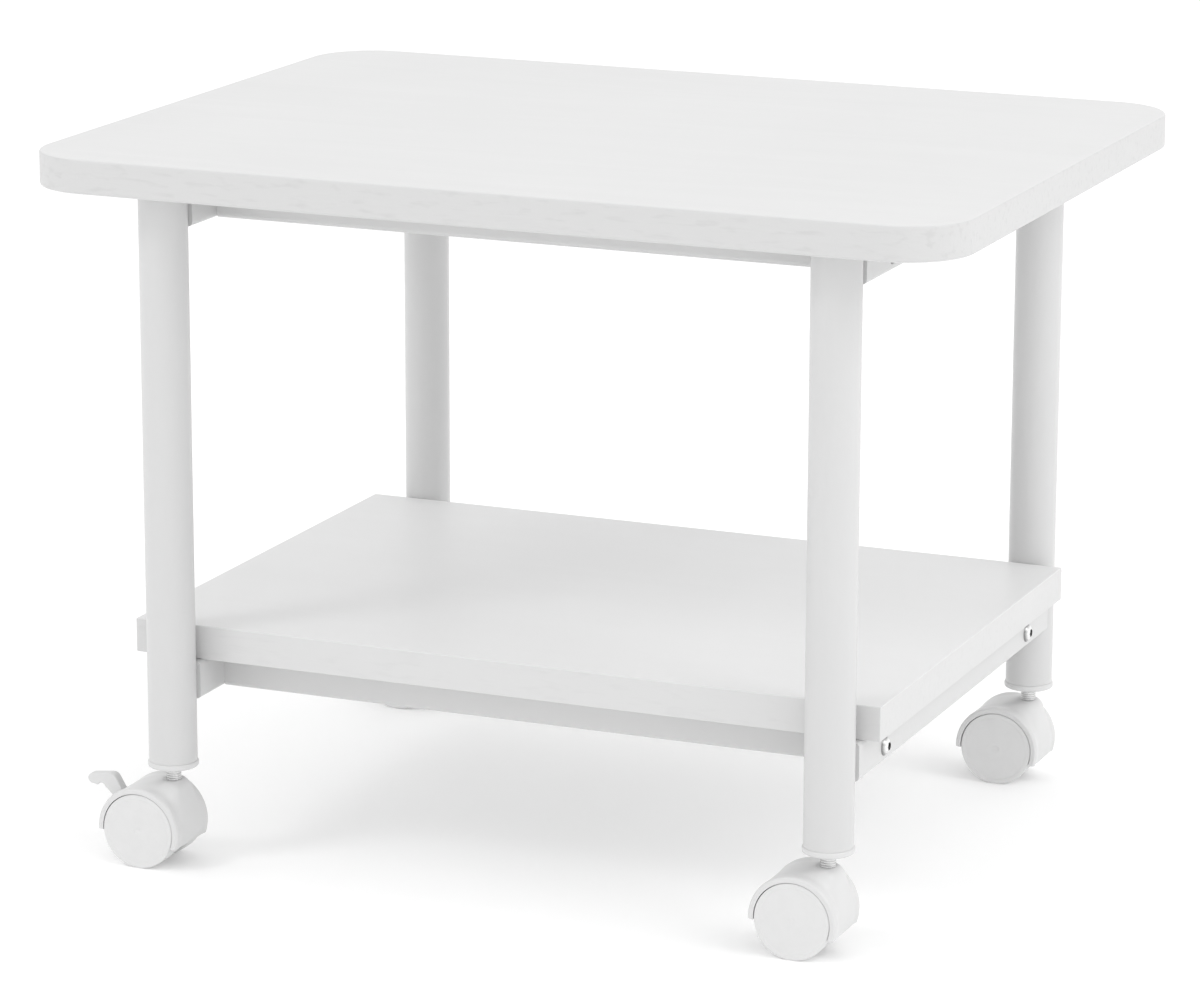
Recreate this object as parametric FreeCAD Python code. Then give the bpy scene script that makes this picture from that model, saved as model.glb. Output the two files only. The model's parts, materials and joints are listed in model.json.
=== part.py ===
import FreeCAD, Part
import os
import math
from FreeCAD import Vector as V

# Mobile printer stand: two boards on a bolted tube frame, four twin-wheel swivel casters.
# Millimetres. Origin on the floor under the middle of the top. +X right (long side), +Y back, +Z up.

os.makedirs("parts", exist_ok=True)

# ---- driving dimensions -------------------------------------------------------------------
top_w = 500.0            # top board along X
top_d = 380.0            # top board along Y
height = 376.0           # floor to the top surface
board_t = 18.0           # both boards
corner_r = 36.0          # plan radius of the top board's corners
edge_r = 1.5             # small rounding of the top board's edges
leg_d = 25.4             # round leg tube
leg_wall = 1.5
leg_x = 182.0            # leg axes
leg_y = 158.5
leg_end_z = 56.3         # lower end of the leg tube
rail = 20.0              # rail tube height, and depth of the square cross rails
side_rail_w = 25.0       # width of the side rails, nearly as wide as the legs
rail_end = 8.0           # square-cut side rail ends stand this far inside the leg axes
rail_wall = 1.5
rail_cap = 1.5           # plate welded into each open end of the side rails
rail_r = 2.5             # outer corner radius of the rail tube
shelf_top = 126.0
shelf_w = 413.0
shelf_shift = -3.0       # the lower board is screwed on slightly towards the left
shelf_gap = 0.5          # shelf edge to the legs
cross_y = 113.5          # centre line of the cross rails
flange_t = 3.3           # collar of the plastic leg insert below the tube end
flange_d = 26.6
bolt_d = 6.0
bolt_drop = 1.5          # bolts sit a little below the middle of the rails
screw_d = 4.0
screw_x = 120.0          # board screws along the cross rails

wheel_r = 20.0
trail = 12.5             # wheel axle behind the swivel axis
wheel_in = 6.5           # wheel faces from the caster's centre plane
wheel_out = 17.8
web_half = 6.0           # half thickness of the web between the wheels
hood_r = 23.0
hood_half = 18.0
wheel_gap = 0.32         # between the tread and the hood's inner face
boss_z = 46.0            # top of the hood around the stem
stem_r = 4.0
stem_low = 25.0          # end of the stem inside the hood
stem_high = 78.0         # end of the stem inside the leg insert
axle_r = 2.5
run_fit = 0.06           # radial clearance of turning fits

under_top = height - board_t
shelf_low = shelf_top - board_t
leg_r = leg_d / 2.0
flange_z = leg_end_z - flange_t

parts = {}


def cyl(x, y, z, r, h, d=V(0, 0, 1)):
    return Part.makeCylinder(r, h, V(x, y, z), d)


def box(x0, x1, y0, y1, z0, z1):
    return Part.makeBox(x1 - x0, y1 - y0, z1 - z0, V(x0, y0, z0))


def rounded_rect(w, h, r):
    """Closed wire in the XY plane, centred on the origin."""
    a, b = w / 2.0, h / 2.0
    k = r * (1.0 - math.sqrt(0.5))
    edges = []
    pts = [(a, -b + r), (a, b - r), (a - r, b), (-a + r, b), (-a, b - r), (-a, -b + r),
           (-a + r, -b), (a - r, -b)]
    mids = [None, (a - k, b - k), None, (-a + k, b - k), None, (-a + k, -b + k), None, (a - k, -b + k)]
    for i in range(8):
        p, q = V(*pts[i], 0), V(*pts[(i + 1) % 8], 0)
        if mids[i] is None:
            edges.append(Part.LineSegment(p, q).toShape())
        else:
            edges.append(Part.Arc(p, V(*mids[i], 0), q).toShape())
    return Part.Wire(edges)


def tube(length, axis, across):
    """Rectangular tube with rounded corners, centred on the origin, along X or Y."""
    w, h = (rail, across) if axis == "x" else (across, rail)
    outer = Part.Face(rounded_rect(w, h, rail_r)).extrude(V(0, 0, length))
    inner = Part.Face(rounded_rect(w - 2 * rail_wall, h - 2 * rail_wall, rail_r - rail_wall))
    inner = inner.extrude(V(0, 0, length))
    body = outer.cut(inner)
    body.translate(V(0, 0, -length / 2.0))
    if axis == "x":
        body.rotate(V(0, 0, 0), V(0, 1, 0), 90)
    else:
        body.rotate(V(0, 0, 0), V(1, 0, 0), 90)
    return body


def revolve_y(points, x, z):
    """Solid of revolution about a Y-parallel axis through (x, z) from (radius, y) points."""
    w = Part.makePolygon([V(x + r, y, z) for r, y in points] + [V(x + points[0][0], points[0][1], z)])
    return Part.Face(w).revolve(V(x, 0, z), V(0, 1, 0), 360)


# ---- boards -------------------------------------------------------------------------------
top = Part.Face(rounded_rect(top_w, top_d, corner_r)).extrude(V(0, 0, board_t))
top.translate(V(0, 0, under_top))
rim = [e for e in top.Edges if abs(e.BoundBox.ZMax - e.BoundBox.ZMin) < 1e-6]
top = top.makeFillet(edge_r, rim)

shelf_half = leg_y - leg_r - shelf_gap
shelf = box(shelf_shift - shelf_w / 2, shelf_shift + shelf_w / 2, -shelf_half, shelf_half,
            shelf_low, shelf_top)
shelf = shelf.makeChamfer(0.4, shelf.Edges)

# ---- legs with their plugs and inserts ------------------------------------------------------
side_names = {-1: "left", 1: "right"}
end_names = {-1: "front", 1: "back"}
corners = [(sx, sy) for sy in (-1, 1) for sx in (-1, 1)]
plugs = []
for sx, sy in corners:
    x, y = sx * leg_x, sy * leg_y
    name = end_names[sy] + "_" + side_names[sx]
    leg = cyl(x, y, leg_end_z, leg_r, under_top - leg_end_z)
    leg = leg.cut(cyl(x, y, leg_end_z - 1, leg_r - leg_wall, under_top - leg_end_z + 2))
    parts["leg_" + name] = leg
    # plastic insert: collar under the tube end, ribbed plug inside, bore for the caster stem
    plug_r = leg_r - leg_wall
    collar = cyl(x, y, flange_z, flange_d / 2, flange_t)
    collar = collar.makeFillet(1.1, [e for e in collar.Edges if e.Length > 20])
    insert = collar.fuse(cyl(x, y, leg_end_z - 0.5, plug_r - 0.6, 28.0))
    for k in range(3):
        insert = insert.fuse(cyl(x, y, leg_end_z + 4 + 9 * k, plug_r, 2.0))
    insert = insert.cut(cyl(x, y, flange_z - 1, stem_r, 80))
    parts["leg_insert_" + name] = insert.removeSplitter()
    # end plug that closes the tube under the top board
    cap = cyl(x, y, under_top - 9.0, plug_r, 9.0).cut(cyl(x, y, under_top - 10.0, plug_r - 2.0, 7.5))
    plugs.append(cap)
parts["leg_top_plugs"] = Part.makeCompound(plugs)

# ---- welded side rails --------------------------------------------------------------------
levels = {"upper": under_top - rail / 2, "lower": shelf_low - rail / 2}
inner_face = leg_x - side_rail_w / 2
outer_face = leg_x + side_rail_w / 2
for level, zc in levels.items():
    for sx in (-1, 1):
        r = tube(2 * (leg_y - rail_end), "y", side_rail_w)
        for sy in (-1, 1):
            cap_y = sy * (leg_y - rail_end - rail_cap / 2)
            cap_w = side_rail_w / 2 - rail_wall / 2
            cap_h = rail / 2 - rail_wall / 2
            r = r.fuse(box(-cap_w, cap_w, cap_y - rail_cap / 2, cap_y + rail_cap / 2, -cap_h, cap_h))
        r = r.removeSplitter()
        r.translate(V(sx * leg_x, 0, zc))
        for sy in (-1, 1):
            r = r.cut(cyl(sx * leg_x, sy * leg_y, zc - rail, leg_r, 2 * rail))
            # bolt passage through both walls
            r = r.cut(cyl(sx * (inner_face - 1), sy * cross_y, zc - bolt_drop, bolt_d / 2 + 0.25,
                          side_rail_w + 2, V(sx, 0, 0)))
        solids = sorted(r.Solids, key=lambda s: s.Volume)
        parts["side_rail_" + level + "_" + side_names[sx]] = solids[-1]

# ---- bolted cross rails ---------------------------------------------------------------------
nuts = []
bolts = []
nut_len = 14.0
nut_w = rail - 2 * rail_wall
screw_holes = {}
for level, zc in levels.items():
    for sy in (-1, 1):
        r = tube(2 * inner_face, "x", rail)
        r.translate(V(0, sy * cross_y, zc))
        for px in (-screw_x, 0.0, screw_x):
            r = r.cut(cyl(px, sy * cross_y, zc, screw_d / 2 + 0.25, rail))
            r = r.cut(cyl(px, sy * cross_y, zc - rail, 4.6, rail))
            screw_holes.setdefault(level, []).append((px, sy * cross_y))
        parts["cross_rail_" + level + "_" + end_names[sy]] = r
        for sx in (-1, 1):
            # threaded end block pressed into the rail end
            block = Part.Face(rounded_rect(nut_w, nut_w, rail_r - rail_wall)).extrude(V(0, 0, nut_len))
            block.rotate(V(0, 0, 0), V(0, 1, 0), 90 * sx)
            block.translate(V(sx * (inner_face - nut_len), sy * cross_y, zc))
            block = block.cut(cyl(sx * (inner_face - nut_len - 1), sy * cross_y, zc - bolt_drop, bolt_d / 2,
                                  nut_len + 2, V(sx, 0, 0)))
            nuts.append(block)
            # button-head bolt from the outer face of the side rail into the end block
            zb = zc - bolt_drop
            shank = cyl(sx * outer_face, sy * cross_y, zb, bolt_d / 2, side_rail_w + nut_len - 1.5,
                        V(-sx, 0, 0))
            head_r, head_h = 5.2, 3.0
            dome_r = (head_r ** 2 + head_h ** 2) / (2 * head_h)
            dome = Part.makeSphere(dome_r, V(sx * (outer_face + head_h - dome_r), sy * cross_y, zb))
            head = dome.common(cyl(sx * outer_face, sy * cross_y, zb, head_r, head_h + 1, V(sx, 0, 0)))
            hexa = Part.makePolygon([V(0, 2.3 * math.cos(math.radians(60 * k)),
                                       2.3 * math.sin(math.radians(60 * k))) for k in range(7)])
            socket = Part.Face(hexa).extrude(V(sx * 4, 0, 0))
            socket.translate(V(sx * (outer_face + 1.0), sy * cross_y, zb))
            bolts.append(head.fuse(shank).cut(socket).removeSplitter())
parts["cross_rail_end_blocks"] = Part.makeCompound(nuts)
parts["frame_bolts"] = Part.makeCompound(bolts)

# ---- board screws, driven up from inside the cross rails through holes in the lower wall --------
screw_in = 12.0
for level, board_key in (("upper", "top"), ("lower", "shelf")):
    zc = levels[level]
    seat = zc + rail / 2 - rail_wall
    group = []
    for px, py in screw_holes[level]:
        shank = cyl(px, py, seat, screw_d / 2, rail_wall + screw_in - 1.5)
        tip = Part.makeCone(screw_d / 2, 0.3, 1.5, V(px, py, seat + rail_wall + screw_in - 1.5))
        head = cyl(px, py, seat - 2.4, 4.0, 2.4)
        head = head.makeFillet(1.2, [e for e in head.Edges if abs(e.BoundBox.ZMax - (seat - 2.4)) < 1e-6])
        cross = box(px - 2.2, px + 2.2, py - 0.5, py + 0.5, seat - 3, seat - 1.2)
        cross = cross.fuse(box(px - 0.5, px + 0.5, py - 2.2, py + 2.2, seat - 3, seat - 1.2))
        group.append(shank.fuse(tip).fuse(head).cut(cross).removeSplitter())
        hole = shank.fuse(tip)
        if board_key == "top":
            top = top.cut(hole)
        else:
            shelf = shelf.cut(hole)
    parts[board_key + "_board_screws"] = Part.makeCompound(group)
parts["top_board"] = top
parts["shelf_board"] = shelf


# ---- caster, built with its swivel axis on the origin and trailing to -X ----------------------
ax, az = -trail, wheel_r         # wheel axle
boss_disc = 4.0                  # rounding discs that shape the hood around the stem
boss_reach = 3.0
steps = 36


def hood_radius(phi, lift):
    """Distance from the axle to the hood surface; lift 0 is the plain round rim, 1 the full boss."""
    best = 1e9
    discs = [(boss_reach - ax - 0.5, boss_z - boss_disc - az), (-boss_reach - ax, boss_z - boss_disc - az)]
    for k in range(180):
        th = math.radians(2.0 * k)
        c = math.cos(phi - th)
        if c < 0.05:
            continue
        h = hood_r
        for dx, dz in discs:
            h = max(h, dx * math.cos(th) + dz * math.sin(th) + boss_disc)
        best = min(best, h / c)
    return hood_r + (best - hood_r) * lift


def hood_section(y, lift, shrink):
    pts = []
    for k in range(steps):
        phi = 2 * math.pi * k / steps
        r = hood_radius(phi, lift) - shrink
        pts.append(V(ax + r * math.cos(phi), y, az + r * math.sin(phi)))
    curve = Part.BSplineCurve()
    curve.interpolate(pts, PeriodicFlag=True)
    return Part.Wire([curve.toShape()])


def smooth(t):
    t = max(0.0, min(1.0, t))
    return t * t * (3 - 2 * t)


sections = []
for y in (-18.0, -17.4, -13.0, -8.5, -4.0, 4.0, 8.5, 13.0, 17.4, 18.0):
    lift = 1.0 - smooth((abs(y) - 4.5) / 12.0)
    sections.append(hood_section(y * hood_half / 18.0, lift, 0.6 if abs(y) == 18.0 else 0.0))
hood = Part.makeLoft(sections, True, False)
if hood.Volume < 0:
    hood.reverse()
for s in (-1, 1):
    cavity = cyl(ax, s * web_half, az, wheel_r + wheel_gap, 30, V(0, s, 0))
    hood = hood.cut(cavity)
# everything under the slanted lower edge is open, except for the round eye that holds the axle
lead_z, rear_z = 12.0, 19.5
under = Part.makePolygon([V(12, -30, lead_z), V(-38, -30, rear_z), V(-38, -30, -30), V(12, -30, -30),
                          V(12, -30, lead_z)])
under = Part.Face(under).extrude(V(0, 60, 0)).cut(cyl(ax, -web_half, az, 8.0, 2 * web_half, V(0, 1, 0)))
hood = hood.cut(under)
# flat seat and socket for the stem
hood = hood.cut(cyl(0, 0, boss_z - 0.4, 6.5, 10))
hood = hood.cut(cyl(0, 0, stem_low - 1.0, stem_r + run_fit, 40))
ring_z = stem_low + 4.0
ring_h = 1.0
ring_groove = 1.6
hood = hood.cut(cyl(0, 0, ring_z - 0.3, 4.9, ring_groove))
hood = hood.cut(cyl(ax, -30, az, axle_r, 60, V(0, 1, 0)))

stem = cyl(0, 0, stem_low, stem_r, stem_high - stem_low)
stem = stem.makeChamfer(0.7, [e for e in stem.Edges if abs(e.BoundBox.ZMax - e.BoundBox.ZMin) < 1e-6])
stem = stem.cut(cyl(0, 0, ring_z, stem_r + 1, ring_h).cut(cyl(0, 0, ring_z - 1, 3.3, ring_h + 2)))
ring = cyl(0, 0, ring_z, 4.6, ring_h).cut(cyl(0, 0, ring_z - 1, 3.3, ring_h + 2))
ring = ring.cut(box(0, 6, -1.0, 1.0, ring_z - 1, ring_z + 2))

axle = cyl(ax, -14.4, az, axle_r, 28.8, V(0, 1, 0))
axle = axle.makeChamfer(0.4, [e for e in axle.Edges if abs(e.BoundBox.YMax - e.BoundBox.YMin) < 1e-6])


def wheel(s):
    """One wheel: closed outer face with a shallow dish, recessed inner side, blind axle bore."""
    bore = axle_r + run_fit
    prof = [(0.0, 14.8), (bore, 14.8), (bore, wheel_in), (6.0, wheel_in), (6.0, wheel_in + 3.0),
            (15.5, wheel_in + 3.0), (15.5, wheel_in + 0.2), (wheel_r - 0.6, wheel_in + 0.2),
            (wheel_r, wheel_in + 0.8), (wheel_r, wheel_out - 0.6), (wheel_r - 0.18, wheel_out - 0.18),
            (wheel_r - 0.6, wheel_out), (wheel_r - 2.4, wheel_out - 0.02), (wheel_r - 2.7, wheel_out - 0.15),
            (2.2, wheel_out - 0.3), (1.2, wheel_out - 0.5), (0.0, wheel_out - 0.55)]
    return revolve_y([(r, s * y) for r, y in prof], ax, az)


# foot lever of the braked casters, in a slot of the web
pivot = (ax - 16.8, az + 11.0)
pin_r = 1.25
lever_half = 2.9
eye_r = 2.9
hump = (pivot[0] - 7.1, pivot[1] + 9.3, 4.3)
tip = (pivot[0] - 17.5, pivot[1] + 9.6, 2.7)
press = 22.0             # travel that the slot leaves free, a little more than the lever's range


def link(c0, r0, c1, r1, half):
    """Plate that wraps two discs in the XZ plane with straight flanks."""
    dx, dz = c1[0] - c0[0], c1[1] - c0[1]
    d = math.hypot(dx, dz)
    a = math.atan2(dz, dx)
    b = math.acos((r0 - r1) / d)
    quad = []
    for c, r, s in ((c0, r0, 1), (c1, r1, 1), (c1, r1, -1), (c0, r0, -1)):
        quad.append(V(c[0] + r * math.cos(a + s * b), -half, c[1] + r * math.sin(a + s * b)))
    body = Part.Face(Part.makePolygon(quad + [quad[0]])).extrude(V(0, 2 * half, 0))
    for c, r in ((c0, r0), (c1, r1)):
        body = body.fuse(cyl(c[0], -half, c[1], r, 2 * half, V(0, 1, 0)))
    return body


lever = link(pivot, eye_r, hump[:2], hump[2], lever_half)
lever = lever.fuse(link(hump[:2], hump[2], tip[:2], tip[2], lever_half)).removeSplitter()
notch_x = (hump[0] + tip[0]) / 2 - 0.2
lever = lever.cut(cyl(notch_x, -10, tip[1] - 4.6, 2.6, 20, V(0, 1, 0)))
side_edges = [e for e in lever.Edges if abs(e.BoundBox.YMax - e.BoundBox.YMin) < 1e-6]
lever = lever.makeFillet(0.7, side_edges)
bored = lever.cut(cyl(pivot[0], -10, pivot[1], pin_r + run_fit, 20.5, V(0, 1, 0)))
assert bored.Volume < lever.Volume - 20
lever = bored
lever_pin = cyl(pivot[0], -web_half + 0.4, pivot[1], pin_r, 2 * web_half - 0.8, V(0, 1, 0))
slot_gap = 0.45
slot_half = lever_half + slot_gap
arm = link(pivot, eye_r + slot_gap, hump[:2], hump[2] + slot_gap, slot_half)
slot = arm
for k in range(1, 5):
    pressed = arm.copy()
    pressed.rotate(V(pivot[0], 0, pivot[1]), V(0, -1, 0), press * k / 4.0)
    slot = slot.fuse(pressed)
braked_hood = hood.cut(slot).cut(cyl(pivot[0], -web_half + 0.4, pivot[1], pin_r, 2 * web_half - 0.8,
                                     V(0, 1, 0)))

for sx, sy in corners:
    place = V(sx * leg_x, sy * leg_y, 0)
    name = end_names[sy] + "_" + side_names[sx]
    braked = sx < 0
    pieces = {
        "caster_stem_": stem,
        "caster_ring_": ring,
        "caster_hood_": braked_hood if braked else hood,
        "caster_axle_": axle,
        "wheel_outer_": wheel(-1),
        "wheel_inner_": wheel(1),
    }
    if braked:
        pieces["brake_lever_"] = lever
        pieces["brake_pin_"] = lever_pin
    for key, shape in pieces.items():
        s = shape.copy()
        s.translate(place)
        parts[key + name] = s

for name in sorted(parts):
    shape = parts[name]
    for s in shape.Solids:
        assert s.isValid() and s.isClosed() and s.Volume > 0, name
    shape.exportStep("parts/" + name + ".step")
print(len(parts), "parts")
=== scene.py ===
import json
import math
import bpy
from mathutils import Euler, Matrix, Vector

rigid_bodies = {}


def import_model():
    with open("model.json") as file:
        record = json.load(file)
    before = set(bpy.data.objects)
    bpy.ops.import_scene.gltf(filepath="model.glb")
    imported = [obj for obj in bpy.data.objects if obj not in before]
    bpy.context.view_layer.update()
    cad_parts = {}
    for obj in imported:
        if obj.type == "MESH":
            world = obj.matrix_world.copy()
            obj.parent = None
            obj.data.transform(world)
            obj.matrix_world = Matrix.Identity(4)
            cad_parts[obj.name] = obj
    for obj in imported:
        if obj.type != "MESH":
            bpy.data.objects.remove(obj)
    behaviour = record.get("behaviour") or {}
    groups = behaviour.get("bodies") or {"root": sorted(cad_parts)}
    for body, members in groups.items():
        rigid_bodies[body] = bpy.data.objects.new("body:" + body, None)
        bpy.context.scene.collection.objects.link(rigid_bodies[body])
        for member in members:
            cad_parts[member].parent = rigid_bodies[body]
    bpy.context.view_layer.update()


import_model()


# ---- node helpers ---------------------------------------------------------------------------
class Mat:
    """A Principled material whose colour, roughness and bump come from procedural nodes."""

    def __init__(self, name, metallic=0.0, specular=0.5, coat=0.0, coat_roughness=0.2):
        self.m = bpy.data.materials.new(name)
        self.m.use_nodes = True
        self.t = self.m.node_tree
        self.t.nodes.clear()
        self.out = self.t.nodes.new("ShaderNodeOutputMaterial")
        self.p = self.t.nodes.new("ShaderNodeBsdfPrincipled")
        self.p.inputs["Metallic"].default_value = metallic
        self.p.inputs["Specular IOR Level"].default_value = specular
        self.p.inputs["Coat Weight"].default_value = coat
        self.p.inputs["Coat Roughness"].default_value = coat_roughness
        self.link(self.p.outputs[0], self.out.inputs[0])
        self.coord = self.t.nodes.new("ShaderNodeTexCoord").outputs["Object"]
        self.last_normal = None

    def link(self, a, b):
        self.t.links.new(a, b)

    def mapping(self, scale):
        n = self.t.nodes.new("ShaderNodeMapping")
        n.inputs["Scale"].default_value = scale
        self.link(self.coord, n.inputs["Vector"])
        return n.outputs[0]

    def noise(self, scale, detail=4.0, rough=0.55, stretch=(1, 1, 1), distortion=0.0):
        n = self.t.nodes.new("ShaderNodeTexNoise")
        n.inputs["Scale"].default_value = scale
        n.inputs["Detail"].default_value = detail
        n.inputs["Roughness"].default_value = rough
        n.inputs["Distortion"].default_value = distortion
        self.link(self.mapping(stretch), n.inputs["Vector"])
        return n.outputs["Fac"]

    def ramp(self, fac, lo, hi, lo_at=0.3, hi_at=0.7):
        n = self.t.nodes.new("ShaderNodeMapRange")
        n.inputs["From Min"].default_value = lo_at
        n.inputs["From Max"].default_value = hi_at
        n.inputs["To Min"].default_value = lo
        n.inputs["To Max"].default_value = hi
        self.link(fac, n.inputs["Value"])
        return n.outputs["Result"]

    def mix(self, fac, a, b):
        n = self.t.nodes.new("ShaderNodeMix")
        n.data_type = "RGBA"
        n.inputs[6].default_value = (*a, 1.0)
        n.inputs[7].default_value = (*b, 1.0)
        self.link(fac, n.inputs[0])
        return n.outputs[2]

    def over(self, fac, a, b):
        """Mix of two colour sockets."""
        n = self.t.nodes.new("ShaderNodeMix")
        n.data_type = "RGBA"
        self.link(fac, n.inputs[0])
        self.link(a, n.inputs[6])
        self.link(b, n.inputs[7])
        return n.outputs[2]

    def facing(self, axis, lo_at, hi_at):
        """0 to 1 as a face turns towards either side of an axis of the object's own space."""
        n = self.t.nodes.new("ShaderNodeSeparateXYZ")
        self.link(self.t.nodes.new("ShaderNodeTexCoord").outputs["Normal"], n.inputs[0])
        a = self.t.nodes.new("ShaderNodeMath")
        a.operation = "ABSOLUTE"
        self.link(n.outputs[axis], a.inputs[0])
        return self.ramp(a.outputs[0], 0.0, 1.0, lo_at, hi_at)

    def colour(self, fac, a, b):
        self.link(self.mix(fac, a, b), self.p.inputs["Base Color"])

    def roughness(self, fac, lo, hi):
        self.link(self.ramp(fac, lo, hi), self.p.inputs["Roughness"])

    def bump(self, height, strength, distance):
        n = self.t.nodes.new("ShaderNodeBump")
        n.inputs["Strength"].default_value = strength
        n.inputs["Distance"].default_value = distance
        self.link(height, n.inputs["Height"])
        if self.last_normal is not None:
            self.link(self.last_normal, n.inputs["Normal"])
        self.last_normal = n.outputs[0]
        self.link(self.last_normal, self.p.inputs["Normal"])


def grey(v):
    return (v, v, v)


def laminate(name, level, shaded_edge_level, grain):
    """White foil: long embossed pores along X, a cloudy sheen, a fine pebble, and painted shade that
    makes the side faces greyer than the top and bottom.
    """
    k = Mat(name, specular=0.42, coat=0.06, coat_roughness=0.35)
    pores = k.noise(260, 3.0, 0.6, (0.035, 1, 1), 0.4)
    bands = k.noise(34, 5.0, 0.6, (0.12, 1, 1), 1.2)
    flecks = k.noise(300, 2.0, 0.5, (0.2, 1, 1), 0.3)
    clouds = k.noise(6, 3.0)
    face_dark = 1 - 0.02 * grain
    edge_dark = 1 - 0.06 * grain
    face = k.mix(k.ramp(bands, 0.0, 1.0, 0.35, 0.68), grey(level * face_dark), grey(level))
    # painted shade: faces that turn sideways get a greyer level than the top and bottom faces
    shaded_sides = k.mix(k.ramp(flecks, 0.0, 1.0, 0.30, 0.45), grey(shaded_edge_level * edge_dark), grey(shaded_edge_level))
    k.link(k.over(k.facing("Z", 0.55, 0.85), shaded_sides, face), k.p.inputs["Base Color"])
    k.roughness(clouds, 0.42, 0.54)
    k.bump(k.ramp(pores, 0.0, 1.0, 0.40, 0.62), 0.22 * grain, 0.00025)
    k.bump(bands, 0.10 * grain, 0.0004)
    k.bump(k.noise(900, 2.0), 0.12, 0.0001)
    return k.m


def powder_coat(name, level):
    """Sprayed and baked white: orange-peel bump, slightly cloudy gloss."""
    k = Mat(name, specular=0.5, coat=0.12, coat_roughness=0.25)
    peel = k.noise(420, 2.0, 0.5)
    clouds = k.noise(9, 4.0)
    k.colour(clouds, grey(level * 0.97), grey(level))
    k.roughness(clouds, 0.30, 0.42)
    k.bump(peel, 0.22, 0.00022)
    k.bump(k.noise(60, 3.0), 0.05, 0.0006)
    return k.m


def nylon(name, level, gloss):
    """Moulded white nylon: faint flow clouds, fine spark-erosion texture."""
    k = Mat(name, specular=0.45)
    k.p.inputs["Subsurface Weight"].default_value = 0.08
    k.p.inputs["Subsurface Radius"].default_value = (0.004, 0.004, 0.004)
    k.p.inputs["Subsurface Scale"].default_value = 0.25
    flow = k.noise(38, 4.0, 0.6, (1, 1, 1), 0.8)
    k.colour(flow, grey(level * 0.965), grey(level))
    k.roughness(flow, gloss, gloss + 0.12)
    k.bump(k.noise(1400, 2.0), 0.15, 0.00008)
    k.bump(k.noise(90, 2.0), 0.06, 0.0004)
    return k.m


def tread(name, level):
    """Rolling face and dish of a wheel: nylon with light scuffs round the axle."""
    k = Mat(name, specular=0.4)
    scuff = k.noise(150, 5.0, 0.7, (1, 0.3, 1), 0.6)
    k.colour(k.ramp(scuff, 0.0, 1.0, 0.25, 0.6), grey(level * 0.97), grey(level))
    k.roughness(scuff, 0.38, 0.56)
    k.bump(scuff, 0.10, 0.0002)
    k.bump(k.noise(1100, 2.0), 0.12, 0.00008)
    return k.m


def plated(name, level, rough):
    """Zinc-plated steel with fine turning marks."""
    k = Mat(name, metallic=1.0)
    marks = k.noise(500, 3.0, 0.6, (0.15, 0.15, 1.6))
    k.colour(marks, grey(level * 0.86), grey(level))
    k.roughness(marks, rough, rough + 0.16)
    k.bump(marks, 0.12, 0.0001)
    return k.m


def bolt_glint_paint(name, level, rough):
    """Plating on a button head that faces X: a painted highlight on the crown and painted shade darkening
    towards its rim.
    """
    k = Mat(name, metallic=1.0)
    # painted highlight on the crown facing X, painted shade darkening towards the rim
    k.colour(k.facing("X", 0.62, 0.84), grey(level * 0.30), grey(level))
    marks = k.noise(500, 3.0, 0.6, (0.15, 0.15, 1.6))
    k.roughness(marks, rough, rough + 0.16)
    k.bump(marks, 0.12, 0.0001)
    return k.m


def thread(name, level):
    """Stem steel with the ridges of a metric thread, and painted shade that darkens the grooves."""
    k = Mat(name, metallic=1.0)
    w = k.t.nodes.new("ShaderNodeTexWave")
    w.wave_type = "BANDS"
    w.bands_direction = "Z"
    w.inputs["Scale"].default_value = 250.0
    w.inputs["Distortion"].default_value = 0.2
    k.link(k.coord, w.inputs["Vector"])
    # painted shade: the grooves of the thread are painted darker than the crests
    k.colour(w.outputs["Fac"], grey(level * 0.7), grey(level))
    k.roughness(k.noise(400, 3.0), 0.2, 0.36)
    k.bump(w.outputs["Fac"], 0.35, 0.0004)
    return k.m


mats = {
    "top": laminate("top laminate", 0.69, 0.60, 1.0),
    # the shelf is the same foil as the top, given a lighter level: painted light that lifts the shade
    # under the top board
    "shelf": laminate("shelf laminate painted lighter", 0.79, 0.64, 0.45),
    "frame": powder_coat("powder coat", 0.61),
    "trim": nylon("insert plastic", 0.66, 0.42),
    "hood": nylon("hood nylon", 0.67, 0.34),
    "lever": nylon("lever nylon", 0.68, 0.34),
    "wheel": tread("wheel nylon", 0.69),
    "bolt": bolt_glint_paint("plating with painted glint", 0.88, 0.18),
    "steel": plated("zinc plating", 0.66, 0.26),
    "stem": thread("threaded steel", 0.72),
}

rules = (
    ("top_board_screws", "steel"), ("shelf_board_screws", "steel"), ("top_board", "top"),
    ("shelf_board", "shelf"), ("leg_insert", "trim"), ("leg_top", "trim"), ("leg_", "frame"),
    ("side_rail", "frame"), ("cross_rail_end", "steel"), ("cross_rail", "frame"), ("frame_bolts", "bolt"),
    ("caster_hood", "hood"), ("caster_stem", "stem"), ("caster_", "steel"), ("brake_lever", "lever"),
    ("brake_pin", "steel"), ("wheel_", "wheel"),
)
for obj in list(bpy.context.scene.objects):
    if obj.type != "MESH":
        continue
    for prefix, key in rules:
        if obj.name.startswith(prefix):
            obj.data.materials.clear()
            obj.data.materials.append(mats[key])
            break


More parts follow.
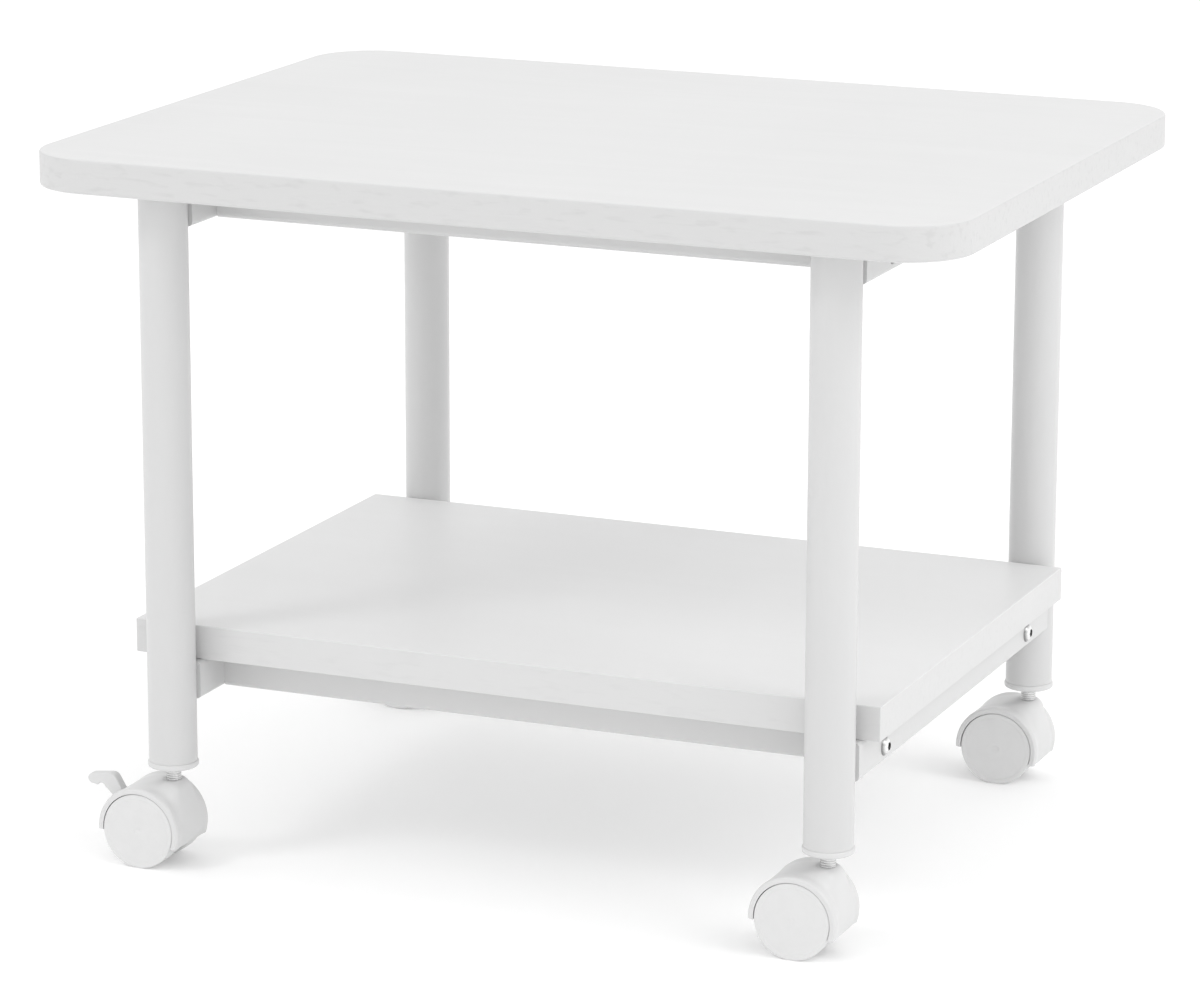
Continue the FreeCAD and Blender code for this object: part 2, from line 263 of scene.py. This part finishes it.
# ---- floor, light, camera ---------------------------------------------------------------------
floor_half = 30.0
floor_emission = 0.12
floor_corners = [(x * floor_half, y * floor_half, 0) for x, y in ((-1, -1), (1, -1), (1, 1), (-1, 1))]
floor_mesh = bpy.data.meshes.new("floor")
floor_mesh.from_pydata(floor_corners, [], [(0, 1, 2, 3)])
floor = bpy.data.objects.new("floor", floor_mesh)
bpy.context.scene.collection.objects.link(floor)
floor_mat = Mat("floor paint", specular=0.1)
floor_mat.colour(floor_mat.noise(0.8, 3.0), grey(0.93), grey(0.94))
floor_mat.roughness(floor_mat.noise(3, 3.0), 0.75, 0.85)
floor_mat.p.inputs["Emission Color"].default_value = (1.0, 1.0, 1.0, 1.0)
floor_mat.p.inputs["Emission Strength"].default_value = floor_emission
floor_mesh.materials.append(floor_mat.m)

# a white room: its walls are brighter than its ceiling
wall_level = 1.15
wall_end = 0.1
ceiling_level = 0.93
ceiling_start = 0.8
scene = bpy.context.scene
scene.view_settings.view_transform = "Standard"
world = bpy.data.worlds.new("studio")
scene.world = world
world.use_nodes = True
wn = world.node_tree.nodes
wl = world.node_tree.links
up = wn.new("ShaderNodeSeparateXYZ")
wl.new(wn.new("ShaderNodeTexCoord").outputs["Generated"], up.inputs[0])
room = wn.new("ShaderNodeMapRange")
room.inputs["From Min"].default_value = wall_end
room.inputs["From Max"].default_value = ceiling_start
room.inputs["To Min"].default_value = wall_level
room.inputs["To Max"].default_value = ceiling_level
wl.new(up.outputs["Z"], room.inputs["Value"])
wl.new(room.outputs["Result"], wn["Background"].inputs["Strength"])
wn["Background"].inputs["Color"].default_value = (1.0, 1.0, 1.0, 1.0)


light_target = (0, 0, 0.2)


def area_light(name, place, size, power):
    data = bpy.data.lights.new(name, "AREA")
    data.shape = "SQUARE"
    data.size = size
    data.energy = power
    o = bpy.data.objects.new(name, data)
    o.location = place
    o.rotation_euler = (Vector(light_target) - Vector(place)).to_track_quat("-Z", "Y").to_euler()
    scene.collection.objects.link(o)
    return o


# soft key from the front left, a broad light from the right, white walls all round
area_light("key", (-1.6, -2.0, 2.6), 0.8, 14.0)
area_light("right", (2.6, -0.3, 2.1), 1.8, 22.0)

# the camera looks at the front from the right and slightly from above
camera_place = (0.98136, -2.34511, 0.81943)
camera_yaw = math.radians(22.87)
camera_pitch = math.radians(14.16)
camera_roll = math.radians(0.15)
cam_data = bpy.data.cameras.new("camera")
cam_data.sensor_width = 36.0
cam_data.lens = 148.32
cam_data.clip_start = 0.05
cam_data.clip_end = 100.0
camera = bpy.data.objects.new("camera", cam_data)
turn = Euler((math.pi / 2 - camera_pitch, 0, camera_yaw), "XYZ").to_matrix().to_4x4()
turn = turn @ Matrix.Rotation(camera_roll, 4, "Z")
camera.matrix_world = Matrix.Translation(camera_place) @ turn
scene.collection.objects.link(camera)
scene.camera = camera
